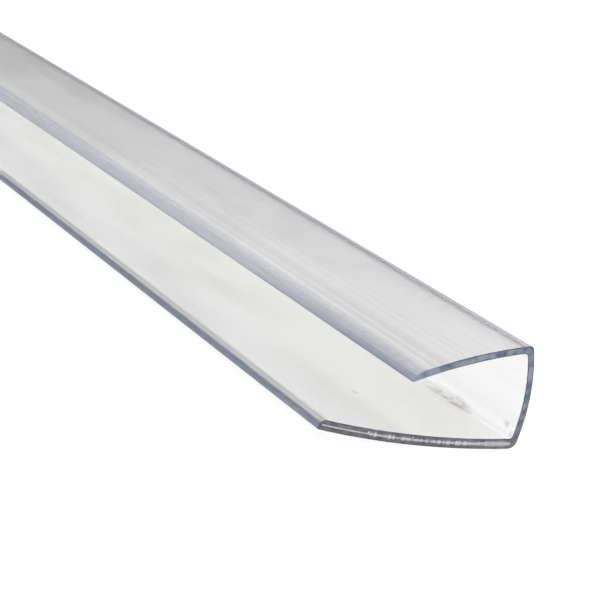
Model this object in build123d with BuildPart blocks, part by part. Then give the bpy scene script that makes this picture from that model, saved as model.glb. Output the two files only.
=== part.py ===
"""Clear polycarbonate U-profile: extruded edge trim for multiwall roofing sheet.

One extruded piece. X runs along the stock, Z is up and the channel opens towards -Y. The long
flange lies underneath, the web stands at +Y and the short flange leans back over the channel.
"""

import os
from math import atan2, cos, degrees, radians, sin

from build123d import *

# Stock length, and the chords of the three walls, from outside corner to outside corner
length = 1050.0
web_height = 13.3
long_flange = 28.2
short_flange = 17.1

# Wall thicknesses: the long flange is the stiffer one
wall = 0.9
long_flange_wall = 1.3

# Inside angles between the chords: both flanges toe in to grip the sheet
heel_angle = 84.0
crest_angle = 77.0

# Rise of each wall's outward bow above its chord
web_bow = 0.95
long_flange_bow = 0.8
short_flange_bow = 0.5

# Rounding of the section
heel_radius = 1.2
crest_radius = 0.6
inside_corner_radius = 0.4
long_tip_top_radius = 0.9
long_tip_bottom_radius = 0.2

# The short flange runs out to a thin edge: length of that nose, and the rounding of its edge
short_nose = 1.8
short_edge_radius = 0.12


def heading(angle):
    """Unit vector at an angle from the section's own +X, in degrees."""
    return Vector(cos(radians(angle)), sin(radians(angle)))


# Corners of the section's outside, drawn with the long flange's chord on -X and the heel at zero
web_direction = 180.0 - heel_angle
short_flange_direction = web_direction + 180.0 - crest_angle
heel = Vector(0.0, 0.0)
crest = heel + heading(web_direction) * web_height
long_tip = heel - Vector(long_flange, 0.0)
short_tip = crest + heading(short_flange_direction) * short_flange

# Outside faces: three arcs that bow outwards
short_arc = SagittaArc(short_tip, crest, short_flange_bow)
web_arc = SagittaArc(crest, heel, web_bow)
long_arc = SagittaArc(heel, long_tip, long_flange_bow)

# Inner ends of the flange tips are square to their arcs
long_tip_inside = long_tip + (long_arc.arc_center - long_tip).normalized() * long_flange_wall
short_tip_inside = short_tip + (short_arc.arc_center - short_tip).normalized() * wall

# The nose leaves the outside of the short flange smoothly and meets its inner face at the edge
nose_share = short_nose / short_arc.length
nose_start = short_arc @ nose_share
nose_tangent = (short_arc % nose_share) * -1.0

# Inner faces are concentric with the outer ones, so the inside corners are where their circles cross
with BuildSketch() as inner_circles:
    with Locations(short_arc.arc_center):
        Circle(short_arc.radius - wall)
    with Locations(web_arc.arc_center):
        Circle(web_arc.radius - wall, mode=Mode.INTERSECT)
    with Locations(long_arc.arc_center):
        Circle(long_arc.radius - long_flange_wall, mode=Mode.INTERSECT)
heel_inside = inner_circles.vertices().sort_by_distance(heel)[0].center()
crest_inside = inner_circles.vertices().sort_by_distance(crest)[0].center()

# Section: once round the outside and back along the inside, then its corners and tips rounded
with BuildSketch() as section:
    with BuildLine():
        add([short_arc.trim(nose_share, 1.0), web_arc, long_arc])
        Line(long_tip, long_tip_inside)
        RadiusArc(long_tip_inside, heel_inside, -(long_arc.radius - long_flange_wall))
        RadiusArc(heel_inside, crest_inside, -(web_arc.radius - wall))
        RadiusArc(crest_inside, short_tip_inside, -(short_arc.radius - wall))
        TangentArc(nose_start, short_tip_inside, tangent=nose_tangent)
    make_face()
    fillet(section.vertices().sort_by_distance(heel)[0], radius=heel_radius)
    fillet(section.vertices().sort_by_distance(crest)[0], radius=crest_radius)
    for corner in (heel_inside, crest_inside):
        fillet(section.vertices().sort_by_distance(corner)[0], radius=inside_corner_radius)
    fillet(section.vertices().sort_by_distance(long_tip)[0], radius=long_tip_bottom_radius)
    fillet(section.vertices().sort_by_distance(long_tip_inside)[0], radius=long_tip_top_radius)
    fillet(section.vertices().sort_by_distance(short_tip_inside)[0], radius=short_edge_radius)

# Lying free, the profile rolls on the bowed long flange until its centre of mass is over the
# line of contact, straight below the centre of that flange's arc
hanging = section.face().center(CenterOf.MASS) - long_arc.arc_center
rest_roll = -90.0 - degrees(atan2(hanging.Y, hanging.X))
rest_box = section.sketch.rotate(Axis.Z, rest_roll).bounding_box()
rest_plane = Plane(
    origin=(0.0, -rest_box.center().X, -rest_box.min.Y),
    x_dir=(0.0, 1.0, 0.0),
    z_dir=(1.0, 0.0, 0.0),
)

# The stock: the section extruded to both sides of the middle and sawn square at its ends
with BuildPart() as u_profile:
    with BuildSketch(rest_plane):
        add(section.sketch, rotation=rest_roll)
    extrude(amount=length / 2, both=True)

u_profile.part.label = "u_profile"

os.makedirs("parts", exist_ok=True)
export_step(u_profile.part, "parts/u_profile.step")
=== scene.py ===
"""Studio picture of a clear polycarbonate U-profile that lies on its long flange.

Metres, in the part's own frame: X along the stock, the channel open towards -Y, Z up.
"""

import math
import random

import bmesh
import bpy
import numpy as np
from mathutils import Euler, Matrix, Vector


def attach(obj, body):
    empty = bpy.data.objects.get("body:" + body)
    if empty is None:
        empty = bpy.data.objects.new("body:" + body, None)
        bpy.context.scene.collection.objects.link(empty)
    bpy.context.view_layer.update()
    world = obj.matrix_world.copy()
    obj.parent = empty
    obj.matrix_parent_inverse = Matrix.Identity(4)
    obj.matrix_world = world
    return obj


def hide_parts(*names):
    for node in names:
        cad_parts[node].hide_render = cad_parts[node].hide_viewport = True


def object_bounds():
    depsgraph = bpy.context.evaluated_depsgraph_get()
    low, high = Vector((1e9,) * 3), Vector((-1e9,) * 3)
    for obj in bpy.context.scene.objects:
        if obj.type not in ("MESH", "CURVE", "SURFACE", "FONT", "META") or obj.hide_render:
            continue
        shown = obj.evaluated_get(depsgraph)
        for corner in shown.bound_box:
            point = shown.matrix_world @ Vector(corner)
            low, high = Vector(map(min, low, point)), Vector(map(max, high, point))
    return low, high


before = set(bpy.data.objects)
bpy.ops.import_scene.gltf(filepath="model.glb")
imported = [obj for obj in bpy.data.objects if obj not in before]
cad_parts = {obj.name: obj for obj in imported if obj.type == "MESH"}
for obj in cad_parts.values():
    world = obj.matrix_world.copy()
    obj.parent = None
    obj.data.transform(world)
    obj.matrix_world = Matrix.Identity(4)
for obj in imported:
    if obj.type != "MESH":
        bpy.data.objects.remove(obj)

cad_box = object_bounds()
half_length = cad_box[1].x

MM = 0.001
NODE = "u_profile"

# Section of the extrusion, with the same sizes as the solid
WEB_HEIGHT = 13.3 * MM
LONG_FLANGE = 28.2 * MM
SHORT_FLANGE = 17.1 * MM
WALL = 0.9 * MM
LONG_FLANGE_WALL = 1.3 * MM
HEEL_ANGLE = 84.0
CREST_ANGLE = 77.0
WEB_BOW = 0.95 * MM
LONG_FLANGE_BOW = 0.8 * MM
SHORT_FLANGE_BOW = 0.5 * MM
HEEL_RADIUS = 1.2 * MM
CREST_RADIUS = 0.6 * MM
INSIDE_CORNER_RADIUS = 0.4 * MM
LONG_TIP_TOP_RADIUS = 0.9 * MM
LONG_TIP_BOTTOM_RADIUS = 0.2 * MM
SHORT_NOSE = 1.8 * MM
SHORT_EDGE_RADIUS = 0.12 * MM

# How far from each edge its rim tint, which is painted shade, and its frost fade in, from none to full
SHORT_FACE_FADE = (0.6 * MM, 0.1 * MM)
SHORT_RIM_FADE = (3.3 * MM, 1.0 * MM)
SHORT_FROST_FADE = (3.0 * MM, 1.9 * MM)
LONG_FACE_FADE = (1.0 * MM, 0.8 * MM)
LONG_RIM_FADE = (1.9 * MM, 1.3 * MM)
LONG_FROST_FADE = (2.0 * MM, 1.4 * MM)
CREST_RIM_FADE = (2.4 * MM, 0.3 * MM)
CREST_FROST_FADE = (1.8 * MM, 0.4 * MM)
SHORT_RIM = 0.5
LONG_RIM = 0.06
CREST_RIM = 0.15
SHORT_FROST = 0.8
CREST_FROST = 1.4

# Mesh density
WALL_STEPS = 40
CORNER_STEPS = 10
LENGTH_STEPS = 96
SHARP_ANGLE = 40.0

# An outline point stays if it is this many times a rounding's reach from its corner
CORNER_CLEARANCE = 1.02

# Two steps of an outline are parallel where their cross product, in square metres, is below this
PARALLEL = 1e-18

# The sawn ends stop a little short of the solid's ends, to leave room for burr and chips
SAW_ROOM = 0.3 * MM
ARRIS = 0.13 * MM
ARRIS_BEVEL = 0.04 * MM

# Burr: a seam inside the long flange's end, wider where it is torn and by the heel
BURR_DEPTH = 0.63 * MM
BURR_HALF_WIDTH = 0.12 * MM
BURR_TORN_WIDTH = 0.28 * MM
BURR_HEEL_WIDTH = 0.30 * MM
BURR_PROUD = 0.10 * MM
BURR_STEPS = 260
BURR_ACROSS = np.linspace(-1, 1, 7)

# Stretches of the burr, as shares of the way from tip to heel, and how far they fade at each end
BURR_RUN = (0.012, 0.975)
TORN_RUN = (0.24, 0.80)
TORN_FADES = (0.03, 0.06)
HEEL_RUN = (0.76, 0.985)
HEEL_FADES = (0.10, 0.05)

# How white the burr is, and how much more or less so where it is torn and by the heel
BURR_WHITE = 0.85
TORN_WHITENING = 0.35
TORN_DULLING = 0.1
HEEL_DULLING = 0.1
FROST_CROWN = 0.8

# How unevenly the saw left the burr: random seed, fine and coarse steps, and spreads
BURR_SEED = 7
FINE_SHARE = 0.6
FINE_STEPS = 5
COARSE_STEPS = 25
SMOOTHED_LOW = 0.35
SMOOTHED_SPREAD = 0.3
PROUD_SPREAD = (0.6, 1.0)
WIDTH_SPREAD = (0.8, 1.2)
WHITE_SPREAD = (0.75, 1.0)

# Chips along the torn stretch
CHIP_SEED = 23
CHIP_COUNT = 18
CHIP_SIZES = (0.06 * MM, 0.17 * MM)
CHIP_DEPTHS = (-0.3 * MM, 0.12 * MM)
CHIP_PROUD = 0.25
CHIP_FLATNESS = (0.3, 0.8)
CHIP_LUMPS = (0.75, 1.1)

# Grime on the inside: middle, reach along each axis, and strength
DIRT = (
    ((half_length - 15.5 * MM, 12.5 * MM, 1.8 * MM), (8.5 * MM, 1.1 * MM, 1.3 * MM), 0.8),
    ((half_length - 12.5 * MM, 12.6 * MM, 1.9 * MM), (4.0 * MM, 0.9 * MM, 1.1 * MM), 0.8),
    ((half_length - 2.2 * MM, 13.1 * MM, 2.9 * MM), (0.9 * MM, 1.2 * MM, 0.6 * MM), 0.9),
    ((half_length - 0.7 * MM, 12.9 * MM, 2.2 * MM), (0.8 * MM, 1.2 * MM, 0.6 * MM), 0.8),
    ((half_length - 15.0 * MM, -1.1 * MM, 1.4 * MM), (1.2 * MM, 0.8 * MM, 1.0 * MM), 0.5),
)

# Noise: cycles per metre along each axis, and detail
DIRT_NOISE = ((420, 900, 900), 3.0)
SMUDGE_NOISE = ((40, 130, 130), 4.0)
DIE_LINE_NOISE = ((0.3, 1500, 1500), 2.0)
MOTTLE_NOISE = ((800, 800, 800), 6.0)
SAW_MARK_NOISE = ((1000, 9000, 1500), 2.0)
WEAR_NOISE = ((900, 900, 900), 3.0)
GRAIN_NOISE = ((6000, 6000, 6000), 3.0)

# Stretches along X, across Y and up Z: where each starts and ends, and its value at both
STREAKS_RAISED = (7.0 * MM, 8.0 * MM, 0.0, 1.0)
STREAKS_ACROSS = (2.0 * MM, 7.0 * MM, 1.0, 0.25)
STREAKS_ALONG = (half_length - 105.0 * MM, half_length - 15.0 * MM, 0.35, 1.0)
SHORT_FLANGE_RAISED = (5.0 * MM, 7.0 * MM, 0.0, 1.0)
# Along this stretch the short flange's painted rim shade pales away from the sawn end
PALED_ALONG = (half_length - 50.0 * MM, half_length - 11.0 * MM, 0.88, 0.0)
# Across the long flange its painted shade deepens towards the lip
LIP_ACROSS = (-13.0 * MM, 6.0 * MM, 1.0, 0.0)
WEB_ACROSS = (11.8 * MM, 12.6 * MM, 0.0, 1.0)
SLATE_RAISED = (1.5 * MM, 7.0 * MM, 0.0, 1.0)
NOSE_RAISED = (6.0 * MM, 7.0 * MM, 0.0, 1.0)
NOSE_ACROSS = (-2.5 * MM, 3.0 * MM, 1.0, 0.0)

# Ranges of noise, dirt or rim: lowest and highest, and the value at both
DIRT_BROKEN = (0.34, 0.60, 0.35, 1.0)
DIRT_SHOWN = (0.05, 0.6, 0.0, 0.9)
DIRT_CLEARNESS = (0.0, 1.0, 0.95, 0.45)
SMEARS_SHOWN = (0.45, 0.7, 0.0, 1.0)
SMUDGE_HAZE = (0.4, 0.7, 0.05, 0.11)
STREAKS_SHOWN = (0.45, 0.64, 0.0, 1.0)
RIM_SHOWN = (0.0, 0.2, 0.0, 1.0)
RIM_BUMP = (0.0, 0.05, 0.025, 0.0)
MOTTLES_SHOWN = (0.40, 0.60, 0.0, 1.0)
WEAR_SHOWN = (0.4, 0.66, 0.0, 1.0)
GRAIN_SHOWN = (0.35, 0.6, 0.75, 1.1)

# Bumps: strength, and height
DIE_LINE_HEIGHT = 0.05 * MM
SAW_MARK_BUMP = (0.5, 0.02 * MM)
WEAR_BUMP = (0.4, 0.02 * MM)
GRAIN_BUMP = (0.5, 0.03 * MM)

# Roughness, and the clearness that full frost takes away
RIM_ROUGHNESS = 0.5
SAWN_ROUGHNESS = 0.42
ARRIS_ROUGHNESS = 0.35
BURR_ROUGHNESS = 0.6
FROST_LOSS = 0.45

# Clear plastic: refraction, depth colour, and the tints of its rims and faces, which are painted shade
REFRACTION = 1.585
DEPTH_COLOUR = (0.12, 0.25, 0.66, 1)
DEPTH_DENSITY = 18.0
RIM_SHADE_NONE = (0.940, 0.936, 0.920, 1)
RIM_SHADE_HALF = (0.54, 0.565, 0.675, 1)
RIM_SHADE_FULL = (0.47, 0.485, 0.54, 1)
RIM_SHADE_PALED = (0.90, 0.915, 0.955, 1)
# Face colours are painted shade: darker on the long flange's inside and darkest at its lip, the web left
# near clear
LONG_FACE_SHADE = (0.925, 0.918, 0.886, 1)
LONG_LIP_SHADE = (0.840, 0.836, 0.815, 1)
SHORT_FACE_SHADE = (0.955, 0.951, 0.936, 1)
WEB_COLOUR = (0.99, 0.99, 0.985, 1)
SMEAR_COLOUR = (0.975, 0.972, 0.965, 1)
STREAK_COLOUR = (0.81, 0.81, 0.815, 1)
DIRT_COLOUR = (0.45, 0.40, 0.30, 1)

# Sawn plastic, from dark to light
SAWN_SLATE = ((0.115, 0.14, 0.22, 1), (0.33, 0.37, 0.46, 1))
SAWN_GREY = ((0.13, 0.13, 0.145, 1), (0.22, 0.22, 0.235, 1))
# The arris colours are painted shade, lighter at the short flange's nose
ARRIS_DARK = ((0.075, 0.080, 0.105, 1), (0.19, 0.20, 0.25, 1))
ARRIS_NOSE = (0.34, 0.37, 0.46, 1)
BURR_COLOURS = ((0.14, 0.14, 0.155, 1), (0.95, 0.95, 0.96, 1))

# Stage: how far the floor and the card reach from the middle, and their looks
FLOOR_REACH = 12.0
FLOOR_GLOW = 0.85
FLOOR_COLOUR = (0.8, 0.8, 0.8, 1)
FLOOR_SHADOWED = (0.22, 0.22, 0.22, 1)
CARD_REACH = 8.0
CARD_HEIGHT = 1.2
CARD_COLOUR = (0.22, 0.22, 0.23, 1)
CARD_FADE = (2.2, 2.75)
CARD_STRENGTHS = (1.6, 0.15)
WORLD_SCATTERED = (0.55, 0.55, 0.56, 1)
WORLD_SEEN = (1, 1, 1, 1)
LAMP_SIZE = 1.2
KEY_PLACE = (1.1, -1.2, 1.5)
KEY_POWER = 18.0
BACK_PLACE = (-0.2, 1.4, 1.2)
BACK_POWER = 14.0
LIGHT_BOUNCES = 32

# Camera, from the vanishing point of the photo's long edges
CAMERA_LENS = 120.0
CAMERA_SENSOR = 36.0
CAMERA_CLIP = 10.0 * MM
CAMERA_PLACE = (0.7138, -0.13115, 0.06638)
CAMERA_TURN = (76.81, -12.94, 62.68)


def heading(angle):
    """Unit vector in the section plane at an angle in degrees."""
    return np.array([math.cos(math.radians(angle)), math.sin(math.radians(angle))])


def bow_circle(start, end, bow):
    """Centre and radius of the arc from start to end that bows to the left of its chord."""
    chord = end - start
    span = np.linalg.norm(chord)
    outward = np.array([-chord[1], chord[0]]) / span
    radius = (span * span / 4 + bow * bow) / (2 * bow)
    return (start + end) / 2 - outward * (radius - bow), radius


def bowed_wall(start, end, bow, inset, shares):
    """Points on a bowed wall, moved in by inset, at shares of the way from start to end."""
    centre, radius = bow_circle(start, end, bow)
    first = math.atan2(*(start - centre)[::-1])
    last = math.atan2(*(end - centre)[::-1])
    turn = (last - first + math.pi) % (2 * math.pi) - math.pi
    angles = first + turn * np.asarray(shares)
    return centre + (radius - inset) * np.column_stack([np.cos(angles), np.sin(angles)])


def tangent_arc(start, tangent, end, steps):
    """Points on the arc that leaves start along tangent and reaches end."""
    chord = end - start
    normal = np.array([-tangent[1], tangent[0]])
    if chord @ normal < 0:
        normal = -normal
    radius = chord @ chord / (2 * (chord @ normal))
    turns = np.linspace(0, 2 * math.atan2(chord @ normal, chord @ tangent), steps)
    return start + radius * (np.outer(np.sin(turns), tangent) + np.outer(1 - np.cos(turns), normal))


def crossing(first, second):
    """Where the first polyline crosses the second one: their indices and the point."""
    for i in range(len(first) - 1):
        for j in range(len(second) - 1):
            a, b = first[i], first[i + 1] - first[i]
            c, d = second[j], second[j + 1] - second[j]
            det = b[0] * -d[1] + b[1] * d[0]
            if abs(det) < PARALLEL:
                continue
            s = ((c[0] - a[0]) * -d[1] + (c[1] - a[1]) * d[0]) / det
            t = (b[0] * (c[1] - a[1]) - b[1] * (c[0] - a[0])) / det
            if 0 <= s <= 1 and 0 <= t <= 1:
                return i, j, a + s * b
    raise ValueError("the walls do not cross")


def corner_arc(back_point, corner, forth_point, radius):
    """Rounding of one corner: how far it reaches along its sides, and the points of its arc."""
    back = (back_point - corner) / np.linalg.norm(back_point - corner)
    forth = (forth_point - corner) / np.linalg.norm(forth_point - corner)
    opening = math.acos(np.clip(back @ forth, -1, 1))
    reach = radius / math.tan(opening / 2)
    bisector = (back + forth) / np.linalg.norm(back + forth)
    centre = corner + bisector * radius / math.sin(opening / 2)
    first = corner + back * reach - centre
    last = corner + forth * reach - centre
    sweep = math.pi - opening
    arc = []
    for t in np.linspace(0, 1, CORNER_STEPS):
        along = first * math.sin((1 - t) * sweep) + last * math.sin(t * sweep)
        arc.append(centre + along / math.sin(sweep))
    return reach, arc


def rounded(runs, radii):
    """One closed outline from runs of points, with an arc of each radius where a run meets the next."""
    count = len(runs)
    corners = []
    for k in range(count):
        here, ahead = runs[k], runs[(k + 1) % count]
        corners.append(corner_arc(here[-2], here[-1], ahead[1], radii[k]))
    outline = []
    for k in range(count):
        run = runs[k]
        for p in run:
            clear_start = np.linalg.norm(p - run[0]) > corners[k - 1][0] * CORNER_CLEARANCE
            clear_end = np.linalg.norm(p - run[-1]) > corners[k][0] * CORNER_CLEARANCE
            if clear_start and clear_end:
                outline.append(p)
        outline.extend(corners[k][1])
    return np.array(outline)


def eased(distance, far, near):
    """Rises smoothly from 0 at the far distance to 1 at the near one."""
    t = np.clip((far - distance) / (far - near), 0, 1)
    return t * t * (3 - 2 * t)


def centroid(outline):
    """Centre of the area inside a closed outline."""
    ahead = np.roll(outline, -1, axis=0)
    cross = outline[:, 0] * ahead[:, 1] - ahead[:, 0] * outline[:, 1]
    return ((outline + ahead) * cross[:, None]).sum(0) / (3 * cross.sum())


class Section:
    """The section at rest in the part's Y and Z: its outline, and each point's darkness, which is painted
    shade, and frost.
    """

    def __init__(self):
        web_direction = 180.0 - HEEL_ANGLE
        flange_direction = web_direction + 180.0 - CREST_ANGLE
        heel = np.zeros(2)
        crest = heading(web_direction) * WEB_HEIGHT
        long_tip = np.array([-LONG_FLANGE, 0.0])
        short_tip = crest + heading(flange_direction) * SHORT_FLANGE
        short_wall = (short_tip, crest, SHORT_FLANGE_BOW)
        web_wall = (crest, heel, WEB_BOW)
        long_wall = (heel, long_tip, LONG_FLANGE_BOW)

        shares = np.linspace(0, 1, WALL_STEPS)
        short_inner = bowed_wall(*short_wall, WALL, shares)
        web_inner = bowed_wall(*web_wall, WALL, shares)
        long_inner = bowed_wall(*long_wall, LONG_FLANGE_WALL, shares)
        i, j, crest_inside = crossing(short_inner, web_inner)
        short_inner = np.vstack([short_inner[:i + 1], crest_inside])
        web_inner = np.vstack([crest_inside, web_inner[j + 1:]])
        i, j, heel_inside = crossing(web_inner, long_inner)
        web_inner = np.vstack([web_inner[:i + 1], heel_inside])
        long_inner = np.vstack([heel_inside, long_inner[j + 1:]])

        nose_share = SHORT_NOSE / np.linalg.norm(crest - short_tip)
        short_outer = bowed_wall(*short_wall, 0.0, np.linspace(nose_share, 1, WALL_STEPS))
        nose_tangent = short_outer[0] - short_outer[1]
        nose_tangent /= np.linalg.norm(nose_tangent)
        nose = tangent_arc(short_outer[0], nose_tangent, short_inner[0], 2 * CORNER_STEPS)
        long_outer = bowed_wall(*long_wall, 0.0, shares)
        web_outer = bowed_wall(*web_wall, 0.0, shares)
        short_top = np.vstack([nose[::-1], short_outer[1:]])
        long_edge = np.array([long_outer[-1], long_inner[-1]])
        runs = [short_top, web_outer, long_outer, long_edge,
                long_inner[::-1], web_inner[::-1], short_inner[::-1]]
        radii = [CREST_RADIUS, HEEL_RADIUS, LONG_TIP_BOTTOM_RADIUS, LONG_TIP_TOP_RADIUS,
                 INSIDE_CORNER_RADIUS, INSIDE_CORNER_RADIUS, SHORT_EDGE_RADIUS]
        flat = rounded(runs, radii)

        hanging = centroid(flat) - bow_circle(*long_wall)[0]
        self.roll = -math.pi / 2 - math.atan2(hanging[1], hanging[0])
        turned = self.rolled(flat)
        low, high = turned.min(0), turned.max(0)
        self.shift = np.array([(low[0] + high[0]) / 2, low[1]])
        self.outline = turned - self.shift
        self.long_wall = long_wall

        # Rim values paint shade on the tips and the crest, where light is trapped in the clear walls, and
        # also roughen them
        to_short_edge = np.linalg.norm(flat - short_inner[0], axis=1)
        to_long_tip = np.linalg.norm(flat - long_tip, axis=1)
        to_crest = np.linalg.norm(flat - crest, axis=1)
        short_face = eased(to_short_edge, *SHORT_FACE_FADE)
        short_rim = SHORT_RIM * eased(to_short_edge, *SHORT_RIM_FADE) + (1 - SHORT_RIM) * short_face
        long_face = eased(to_long_tip, *LONG_FACE_FADE)
        long_rim = LONG_RIM * eased(to_long_tip, *LONG_RIM_FADE) + (1 - LONG_RIM) * long_face
        crest_rim = CREST_RIM * eased(to_crest, *CREST_RIM_FADE)
        self.rim = np.maximum(np.maximum(short_rim, long_rim), crest_rim)
        long_frost = eased(to_long_tip, *LONG_FROST_FADE) * (1 - long_face)
        crest_frost = CREST_FROST * eased(to_crest, *CREST_FROST_FADE)
        short_frost = SHORT_FROST * eased(to_short_edge, *SHORT_FROST_FADE) * (1 - short_face)
        self.frost = np.maximum(np.maximum(short_frost, long_frost), crest_frost)

    def rolled(self, points):
        """Points turned to the angle at which the section lies."""
        c, s = math.cos(self.roll), math.sin(self.roll)
        return points @ np.array([[c, s], [-s, c]])

    def inside_long_flange(self, depth, shares):
        """Points a depth below the long flange's inner face, at shares of the way from tip to heel."""
        points = bowed_wall(*self.long_wall, LONG_FLANGE_WALL - depth, 1 - np.asarray(shares))
        return self.rolled(points) - self.shift


def new_piece(name, mesh):
    """Piece of the part that rides on its root body."""
    piece = bpy.data.objects.new(name, mesh)
    bpy.context.scene.collection.objects.link(piece)
    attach(piece, "root")
    return piece


def cut_ends(mesh):
    """Gives the closed ends a bevelled arris and the sawn materials."""
    work = bmesh.new()
    work.from_mesh(mesh)
    work.faces.ensure_lookup_table()
    for end in work.faces[-2:]:
        end.material_index = 1
        arris = bmesh.ops.inset_individual(
            work, faces=[end], thickness=ARRIS, depth=ARRIS_BEVEL, use_even_offset=True)
        for strip in arris["faces"]:
            strip.material_index = 2
    work.to_mesh(mesh)
    work.free()


def extrusion(name, section, lengths):
    """Mesh of the section swept along X and closed at its ends, with rim and frost kept on its points."""
    outline = section.outline
    ring = len(outline)
    points = [(x, y, z) for x in lengths for y, z in outline]
    faces = []
    for s in range(len(lengths) - 1):
        for k in range(ring):
            n = (k + 1) % ring
            faces.append((s * ring + n, s * ring + k, (s + 1) * ring + k, (s + 1) * ring + n))
    last = (len(lengths) - 1) * ring
    faces.append(tuple(range(ring)))
    faces.append(tuple(last + k for k in reversed(range(ring))))
    mesh = bpy.data.meshes.new(name)
    mesh.from_pydata(points, [], faces)
    mesh.update()
    for kept, values in (("rim", section.rim), ("frost", section.frost)):
        mesh.attributes.new(kept, "FLOAT", "POINT").data.foreach_set("value", np.tile(values, len(lengths)))
    cut_ends(mesh)
    mesh.shade_smooth()
    mesh.set_sharp_from_angle(angle=math.radians(SHARP_ANGLE))
    return mesh


section = Section()
sawn_end = half_length - SAW_ROOM
stations = np.linspace(-sawn_end, sawn_end, LENGTH_STEPS)
stock = new_piece("clear_profile", extrusion("clear_profile", section, stations))
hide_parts(NODE)


def smoothed_draws(draw, count, spread):
    """Random values from 0 to 1 that change slowly over about spread steps."""
    window = np.hanning(spread)
    raw = [draw.random() for _ in range(count)]
    slow = np.convolve(raw, window / window.sum(), mode="same")
    return np.clip((slow - SMOOTHED_LOW) / SMOOTHED_SPREAD, 0, 1)


def along_run(shares, run, fades):
    """1 along a run of the shares, fading to 0 at both its ends."""
    return np.clip((shares - run[0]) / fades[0], 0, 1) * np.clip((run[1] - shares) / fades[1], 0, 1)


def burr_mesh(end, side):
    """Raised seam of plastic that the saw left along the long flange's end, frosted along its middle."""
    draw = random.Random(BURR_SEED)
    shares = np.linspace(*BURR_RUN, BURR_STEPS)
    fine = smoothed_draws(draw, BURR_STEPS, FINE_STEPS)
    coarse = smoothed_draws(draw, BURR_STEPS, COARSE_STEPS)
    rough = FINE_SHARE * fine + (1 - FINE_SHARE) * coarse
    torn = along_run(shares, TORN_RUN, TORN_FADES)
    by_heel = along_run(shares, HEEL_RUN, HEEL_FADES)
    reaches = BURR_HALF_WIDTH + BURR_TORN_WIDTH * torn * rough + BURR_HEEL_WIDTH * by_heel
    whites = BURR_WHITE + torn * (TORN_WHITENING * rough - TORN_DULLING) - HEEL_DULLING * by_heel
    points = []
    frosting = []
    for share, reach, white in zip(shares, reaches, whites):
        proud = BURR_PROUD * draw.uniform(*PROUD_SPREAD)
        reach *= draw.uniform(*WIDTH_SPREAD)
        white *= draw.uniform(*WHITE_SPREAD)
        for across in BURR_ACROSS:
            crown = 1 - across * across
            y, z = section.inside_long_flange(BURR_DEPTH + reach * across, [share])[0]
            points.append((end + side * (ARRIS_BEVEL + proud * crown), y, z))
            frosting.append(white * crown ** FROST_CROWN)
    faces = []
    row = len(BURR_ACROSS)
    for s in range(BURR_STEPS - 1):
        for k in range(s * row, s * row + row - 1):
            quad = (k, k + 1, k + row + 1, k + row)
            faces.append(quad if side > 0 else quad[::-1])
    mesh = bpy.data.meshes.new("saw_burr")
    mesh.from_pydata(points, [], faces)
    mesh.update()
    mesh.attributes.new("white", "FLOAT", "POINT").data.foreach_set("value", frosting)
    mesh.shade_smooth()
    return mesh


def chips_mesh(end, side):
    """Crumbs of frosted plastic that cling to the burr."""
    draw = random.Random(CHIP_SEED)
    crumbs = bmesh.new()
    for _ in range(CHIP_COUNT):
        share = draw.uniform(*TORN_RUN)
        size = draw.uniform(*CHIP_SIZES)
        y, z = section.inside_long_flange(BURR_DEPTH + draw.uniform(*CHIP_DEPTHS), [share])[0]
        place = Matrix.Translation((end + side * CHIP_PROUD * size, y, z))
        turn = Euler([draw.uniform(0, math.pi) for _ in range(3)]).to_matrix().to_4x4()
        breadth = size * draw.uniform(*CHIP_FLATNESS)
        thickness = size * draw.uniform(*CHIP_FLATNESS)
        stretch = Matrix.Diagonal((size, breadth, thickness, 1))
        made = bmesh.ops.create_icosphere(crumbs, subdivisions=2, radius=1.0)
        for v in made["verts"]:
            v.co *= draw.uniform(*CHIP_LUMPS)
        bmesh.ops.transform(crumbs, matrix=place @ turn @ stretch, verts=made["verts"])
    mesh = bpy.data.meshes.new("saw_chips")
    crumbs.to_mesh(mesh)
    crumbs.free()
    mesh.attributes.new("white", "FLOAT", "POINT").data.foreach_set("value", np.ones(len(mesh.vertices)))
    return mesh


burr_right = new_piece("saw_burr_right", burr_mesh(sawn_end, 1))
burr_left = new_piece("saw_burr_left", burr_mesh(-sawn_end, -1))
chips_right = new_piece("saw_chips_right", chips_mesh(sawn_end, 1))
chips_left = new_piece("saw_chips_left", chips_mesh(-sawn_end, -1))


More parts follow.
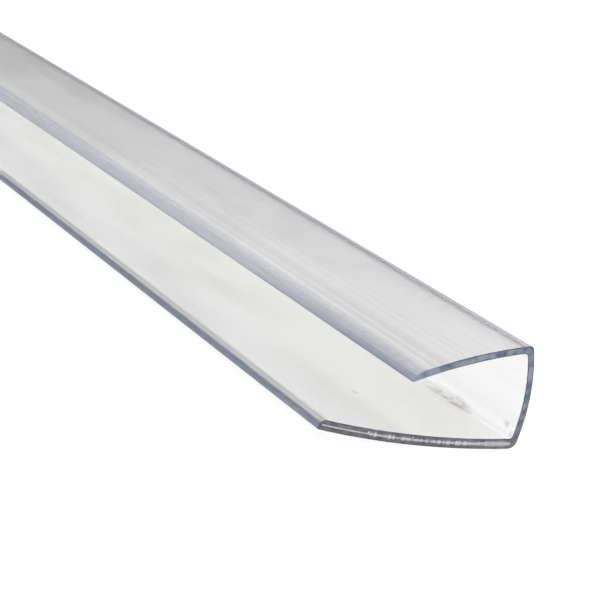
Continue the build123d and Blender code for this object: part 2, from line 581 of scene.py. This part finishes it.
class Nodes:
    """Short hand for building one material's nodes."""

    def __init__(self, name):
        self.material = bpy.data.materials.new(name)
        self.material.use_nodes = True
        self.tree = self.material.node_tree
        self.shader = self.tree.nodes["Principled BSDF"]
        self.output = self.tree.nodes["Material Output"]

    def add(self, kind, **settings):
        node = self.tree.nodes.new(kind)
        for key, value in settings.items():
            setattr(node, key, value)
        return node

    def link(self, source, target):
        self.tree.links.new(source, target)

    def place(self, scale):
        """Object coordinates, scaled along each axis."""
        coordinates = self.add("ShaderNodeTexCoord")
        mapping = self.add("ShaderNodeMapping")
        mapping.inputs["Scale"].default_value = scale
        self.link(coordinates.outputs["Object"], mapping.inputs["Vector"])
        return mapping.outputs["Vector"]

    def along(self, axis):
        """Object coordinate along one axis."""
        split = self.add("ShaderNodeSeparateXYZ")
        self.link(self.add("ShaderNodeTexCoord").outputs["Object"], split.inputs[0])
        return split.outputs[axis]

    def noise(self, scale, detail):
        """Noise at a scale in cycles per metre along each axis."""
        node = self.add("ShaderNodeTexNoise")
        node.inputs["Scale"].default_value = 1.0
        node.inputs["Detail"].default_value = detail
        self.link(self.place(scale), node.inputs["Vector"])
        return node.outputs["Fac"]

    def span(self, value, low, high, to_low, to_high):
        """Maps a value from low..high to to_low..to_high, and clamps it."""
        node = self.add("ShaderNodeMapRange")
        self.link(value, node.inputs["Value"])
        node.inputs["From Min"].default_value = low
        node.inputs["From Max"].default_value = high
        node.inputs["To Min"].default_value = to_low
        node.inputs["To Max"].default_value = to_high
        return node.outputs["Result"]

    def maths(self, operation, first, second):
        """Result of one operation on two sockets or numbers."""
        node = self.add("ShaderNodeMath", operation=operation)
        for socket, value in zip(node.inputs, (first, second)):
            if isinstance(value, (int, float)):
                socket.default_value = value
            else:
                self.link(value, socket)
        return node.outputs[0]

    def blend(self, share, first, second):
        """Colour between two colours."""
        node = self.add("ShaderNodeMix", data_type="RGBA")
        self.link(share, node.inputs["Factor"])
        for socket, value in zip((node.inputs[6], node.inputs[7]), (first, second)):
            if isinstance(value, tuple):
                socket.default_value = value
            else:
                self.link(value, socket)
        return node.outputs[2]

    def patch(self, middle, reach):
        """1 at the middle of an ellipsoid, falling to 0 at its reach along each axis."""
        coordinates = self.add("ShaderNodeTexCoord")
        mapping = self.add("ShaderNodeMapping", vector_type="TEXTURE")
        mapping.inputs["Location"].default_value = middle
        mapping.inputs["Scale"].default_value = reach
        ball = self.add("ShaderNodeTexGradient", gradient_type="SPHERICAL")
        self.link(coordinates.outputs["Object"], mapping.inputs["Vector"])
        self.link(mapping.outputs["Vector"], ball.inputs["Vector"])
        return ball.outputs["Fac"]

    def dirt(self):
        """Where grime has gathered: a smear in the heel, specks by the end, a smudge on the flange."""
        whole = 0.0
        for middle, reach, strength in DIRT:
            whole = self.maths("ADD", self.maths("MULTIPLY", self.patch(middle, reach), strength), whole)
        broken = self.span(self.noise(*DIRT_NOISE), *DIRT_BROKEN)
        return self.span(self.maths("MULTIPLY", whole, broken), *DIRT_SHOWN)

    def worn_top(self):
        """How strongly the short flange shows its die lines: in front, and most near the sawn end."""
        raised = self.span(self.along("Z"), *STREAKS_RAISED)
        front = self.span(self.along("Y"), *STREAKS_ACROSS)
        near = self.span(self.along("X"), *STREAKS_ALONG)
        return self.maths("MULTIPLY", raised, self.maths("MULTIPLY", front, near))

    def bump(self, height, strength, distance):
        """Roughens the shader's surface by a height."""
        node = self.add("ShaderNodeBump")
        if isinstance(strength, float):
            node.inputs["Strength"].default_value = strength
        else:
            self.link(strength, node.inputs["Strength"])
        node.inputs["Distance"].default_value = distance
        self.link(height, node.inputs["Height"])
        self.link(node.outputs["Normal"], self.shader.inputs["Normal"])


def polycarbonate():
    """Clear plastic, faintly blue through its depth, with die lines along the stock."""
    made = Nodes("clear_polycarbonate")
    shader = made.shader
    shader.inputs["IOR"].default_value = REFRACTION
    rim = made.add("ShaderNodeAttribute", attribute_name="rim").outputs["Fac"]
    frost = made.add("ShaderNodeAttribute", attribute_name="frost").outputs["Fac"]
    # Painted shade: the rims of the tips and the crest darken to slate, where light is trapped in the clear
    # walls
    tint = made.add("ShaderNodeValToRGB")
    tint.color_ramp.elements[0].color = RIM_SHADE_NONE
    tint.color_ramp.elements[1].color = RIM_SHADE_FULL
    tint.color_ramp.elements.new(0.5).color = RIM_SHADE_HALF
    made.link(rim, tint.inputs["Fac"])
    # Away from the sawn end the short flange's painted rim shade turns paler
    raised = made.span(made.along("Z"), *SHORT_FLANGE_RAISED)
    far_off = made.span(made.along("X"), *PALED_ALONG)
    paled = made.maths("MULTIPLY", raised, far_off)
    rim_shade = made.blend(paled, tint.outputs["Color"], RIM_SHADE_PALED)
    smudges = made.noise(*SMUDGE_NOISE)
    smeared = made.span(smudges, *SMEARS_SHOWN)
    # Painted shade on the faces: the long flange darkens towards its lip and is darker than the short
    # flange; smudges haze it, and the web stays near clear
    by_lip = made.span(made.along("Y"), *LIP_ACROSS)
    long_face = made.blend(by_lip, LONG_FACE_SHADE, LONG_LIP_SHADE)
    face_shade = made.blend(raised, long_face, SHORT_FACE_SHADE)
    dulled = made.add("ShaderNodeMix", data_type="RGBA", blend_type="MULTIPLY")
    dulled.inputs["Factor"].default_value = 1.0
    made.link(face_shade, dulled.inputs[6])
    dulled.inputs[7].default_value = SMEAR_COLOUR
    smudged_face_shade = made.blend(smeared, face_shade, dulled.outputs[2])
    on_web = made.span(made.along("Y"), *WEB_ACROSS)
    shaded_faces = made.blend(on_web, smudged_face_shade, WEB_COLOUR)
    # The painted rim shade goes over the painted shade of the faces
    shade_blend = made.blend(made.span(rim, *RIM_SHOWN), shaded_faces, rim_shade)
    die_lines = made.noise(*DIE_LINE_NOISE)
    streaks = made.maths("MULTIPLY", made.span(die_lines, *STREAKS_SHOWN), made.worn_top())
    streaked = made.blend(streaks, shade_blend, STREAK_COLOUR)
    dirt = made.dirt()
    made.link(made.blend(dirt, streaked, DIRT_COLOUR), shader.inputs["Base Color"])
    cleared = made.span(dirt, *DIRT_CLEARNESS)
    clear = made.maths("SUBTRACT", cleared, made.maths("MULTIPLY", frost, FROST_LOSS))
    made.link(clear, shader.inputs["Transmission Weight"])
    haze = made.span(smudges, *SMUDGE_HAZE)
    rim_haze = made.maths("MULTIPLY", rim, RIM_ROUGHNESS)
    made.link(made.maths("ADD", haze, rim_haze), shader.inputs["Roughness"])
    made.bump(die_lines, made.span(rim, *RIM_BUMP), DIE_LINE_HEIGHT)
    depth = made.add("ShaderNodeVolumeAbsorption")
    depth.inputs["Color"].default_value = DEPTH_COLOUR
    depth.inputs["Density"].default_value = DEPTH_DENSITY
    made.link(depth.outputs["Volume"], made.output.inputs["Volume"])
    return made.material


def sawn_polycarbonate():
    """Sawn end: slate-blue where light gathers from the length of the stock, with fine saw marks."""
    made = Nodes("sawn_polycarbonate")
    shader = made.shader
    mottle = made.noise(*MOTTLE_NOISE)
    mottled = made.span(mottle, *MOTTLES_SHOWN)
    slate = made.blend(mottled, *SAWN_SLATE)
    grey = made.blend(mottled, *SAWN_GREY)
    raised = made.span(made.along("Z"), *SLATE_RAISED)
    made.link(made.blend(raised, grey, slate), shader.inputs["Base Color"])
    shader.inputs["Roughness"].default_value = SAWN_ROUGHNESS
    marks = made.noise(*SAW_MARK_NOISE)
    made.bump(marks, *SAW_MARK_BUMP)
    return made.material


def arris_polycarbonate():
    """Edge of the sawn end, where the clear walls turn dark: painted shade, a lighter slate at the short
    flange's nose.
    """
    made = Nodes("arris_polycarbonate")
    shader = made.shader
    wear = made.noise(*WEAR_NOISE)
    shade_blend = made.span(wear, *WEAR_SHOWN)
    dark = made.blend(shade_blend, *ARRIS_DARK)
    # The short flange's nose gets a lighter slate in the painted shade
    raised = made.span(made.along("Z"), *NOSE_RAISED)
    by_nose = made.span(made.along("Y"), *NOSE_ACROSS)
    made.link(made.blend(made.maths("MULTIPLY", raised, by_nose), dark, ARRIS_NOSE),
              shader.inputs["Base Color"])
    shader.inputs["Roughness"].default_value = ARRIS_ROUGHNESS
    made.bump(wear, *WEAR_BUMP)
    return made.material


def frosted_polycarbonate():
    """White crumbs and burr, frosted by the saw."""
    made = Nodes("frosted_polycarbonate")
    shader = made.shader
    grain = made.noise(*GRAIN_NOISE)
    white = made.add("ShaderNodeAttribute", attribute_name="white").outputs["Fac"]
    frosted = made.maths("MULTIPLY", white, made.span(grain, *GRAIN_SHOWN))
    colour = made.blend(frosted, *BURR_COLOURS)
    made.link(colour, shader.inputs["Base Color"])
    shader.inputs["Roughness"].default_value = BURR_ROUGHNESS
    made.bump(grain, *GRAIN_BUMP)
    return made.material


stock.data.materials.append(polycarbonate())
stock.data.materials.append(sawn_polycarbonate())
stock.data.materials.append(arris_polycarbonate())
frosted = frosted_polycarbonate()
for piece in (burr_right, burr_left, chips_right, chips_left):
    piece.data.materials.append(frosted)


def seen_directly(nodes, links):
    """Socket that is 1 for what the camera, a mirror or a clear wall shows, and 0 for scattered light."""
    path = nodes.new("ShaderNodeLightPath")
    mirrored = nodes.new("ShaderNodeMath")
    mirrored.operation = "MAXIMUM"
    links.new(path.outputs["Is Glossy Ray"], mirrored.inputs[0])
    links.new(path.outputs["Is Transmission Ray"], mirrored.inputs[1])
    seen = nodes.new("ShaderNodeMath")
    seen.operation = "MAXIMUM"
    links.new(path.outputs["Is Camera Ray"], seen.inputs[0])
    links.new(mirrored.outputs[0], seen.inputs[1])
    return seen.outputs[0]


def floor_material():
    """Pale floor that shows white and keeps a soft shadow."""
    material = bpy.data.materials.new("pale_floor")
    material.use_nodes = True
    nodes = material.node_tree.nodes
    links = material.node_tree.links
    nodes.remove(nodes["Principled BSDF"])
    plain = nodes.new("ShaderNodeBsdfDiffuse")
    plain.inputs["Color"].default_value = FLOOR_COLOUR
    shadowed = nodes.new("ShaderNodeBsdfDiffuse")
    shadowed.inputs["Color"].default_value = FLOOR_SHADOWED
    glow = nodes.new("ShaderNodeEmission")
    glow.inputs["Strength"].default_value = FLOOR_GLOW
    bright = nodes.new("ShaderNodeAddShader")
    links.new(shadowed.outputs[0], bright.inputs[0])
    links.new(glow.outputs[0], bright.inputs[1])
    choose = nodes.new("ShaderNodeMixShader")
    links.new(seen_directly(nodes, links), choose.inputs["Fac"])
    links.new(plain.outputs[0], choose.inputs[1])
    links.new(bright.outputs[0], choose.inputs[2])
    links.new(choose.outputs[0], nodes["Material Output"].inputs["Surface"])
    return material


def card(name, reach, height, material):
    """Level square on the stage, and how far it reaches from the middle."""
    mesh = bpy.data.meshes.new(name)
    turns = ((-1, -1), (1, -1), (1, 1), (-1, 1))
    corners = [(reach * x, reach * y, height) for x, y in turns]
    mesh.from_pydata(corners, [], [(0, 1, 2, 3)])
    sheet = bpy.data.objects.new(name, mesh)
    bpy.context.scene.collection.objects.link(sheet)
    mesh.materials.append(material)
    return sheet


def grey_card_material():
    """Grey that gives the clear walls something to reflect, and darkens away from the middle."""
    made = Nodes("grey_card")
    far = made.add("ShaderNodeVectorMath", operation="LENGTH")
    made.link(made.add("ShaderNodeTexCoord").outputs["Object"], far.inputs[0])
    grey = made.add("ShaderNodeEmission")
    grey.inputs["Color"].default_value = CARD_COLOUR
    made.link(made.span(far.outputs["Value"], *CARD_FADE, *CARD_STRENGTHS), grey.inputs["Strength"])
    made.link(grey.outputs[0], made.output.inputs["Surface"])
    made.tree.nodes.remove(made.shader)
    return made.material


card("floor", FLOOR_REACH, 0.0, floor_material())
grey_card = card("grey_card", CARD_REACH, CARD_HEIGHT, grey_card_material())
grey_card.visible_camera = False
grey_card.visible_diffuse = False
grey_card.visible_transmission = False
grey_card.visible_shadow = False


def make_world():
    """White studio, with a softer level for scattered light."""
    world = bpy.data.worlds.new("studio")
    bpy.context.scene.world = world
    world.use_nodes = True
    nodes = world.node_tree.nodes
    links = world.node_tree.links
    mix = nodes.new("ShaderNodeMix")
    mix.data_type = "RGBA"
    links.new(seen_directly(nodes, links), mix.inputs["Factor"])
    mix.inputs[6].default_value = WORLD_SCATTERED
    mix.inputs[7].default_value = WORLD_SEEN
    links.new(mix.outputs[2], nodes["Background"].inputs["Color"])


make_world()


def soft_lamp(name, place, target, size, power):
    """Round lamp that faces a target."""
    lamp = bpy.data.lights.new(name, "AREA")
    lamp.shape = "DISK"
    lamp.size = size
    lamp.energy = power
    holder = bpy.data.objects.new(name, lamp)
    holder.location = place
    holder.rotation_euler = (Vector(target) - Vector(place)).to_track_quat("-Z", "Y").to_euler()
    bpy.context.scene.collection.objects.link(holder)


near_end = (half_length, 0.0, 0.0)
soft_lamp("key", KEY_PLACE, near_end, LAMP_SIZE, KEY_POWER)
soft_lamp("back", BACK_PLACE, near_end, LAMP_SIZE, BACK_POWER)


def make_camera():
    """Camera at the photo's viewing angle."""
    data = bpy.data.cameras.new("camera")
    data.lens = CAMERA_LENS
    data.sensor_width = CAMERA_SENSOR
    data.clip_start = CAMERA_CLIP
    camera = bpy.data.objects.new("camera", data)
    camera.location = CAMERA_PLACE
    camera.rotation_euler = Euler([math.radians(a) for a in CAMERA_TURN], "XYZ")
    bpy.context.scene.collection.objects.link(camera)
    bpy.context.scene.camera = camera


make_camera()
scene = bpy.context.scene
scene.view_settings.view_transform = "Standard"

# Light runs far inside the clear walls before it leaves them
scene.cycles.max_bounces = LIGHT_BOUNCES
scene.cycles.glossy_bounces = LIGHT_BOUNCES
scene.cycles.transmission_bounces = LIGHT_BOUNCES
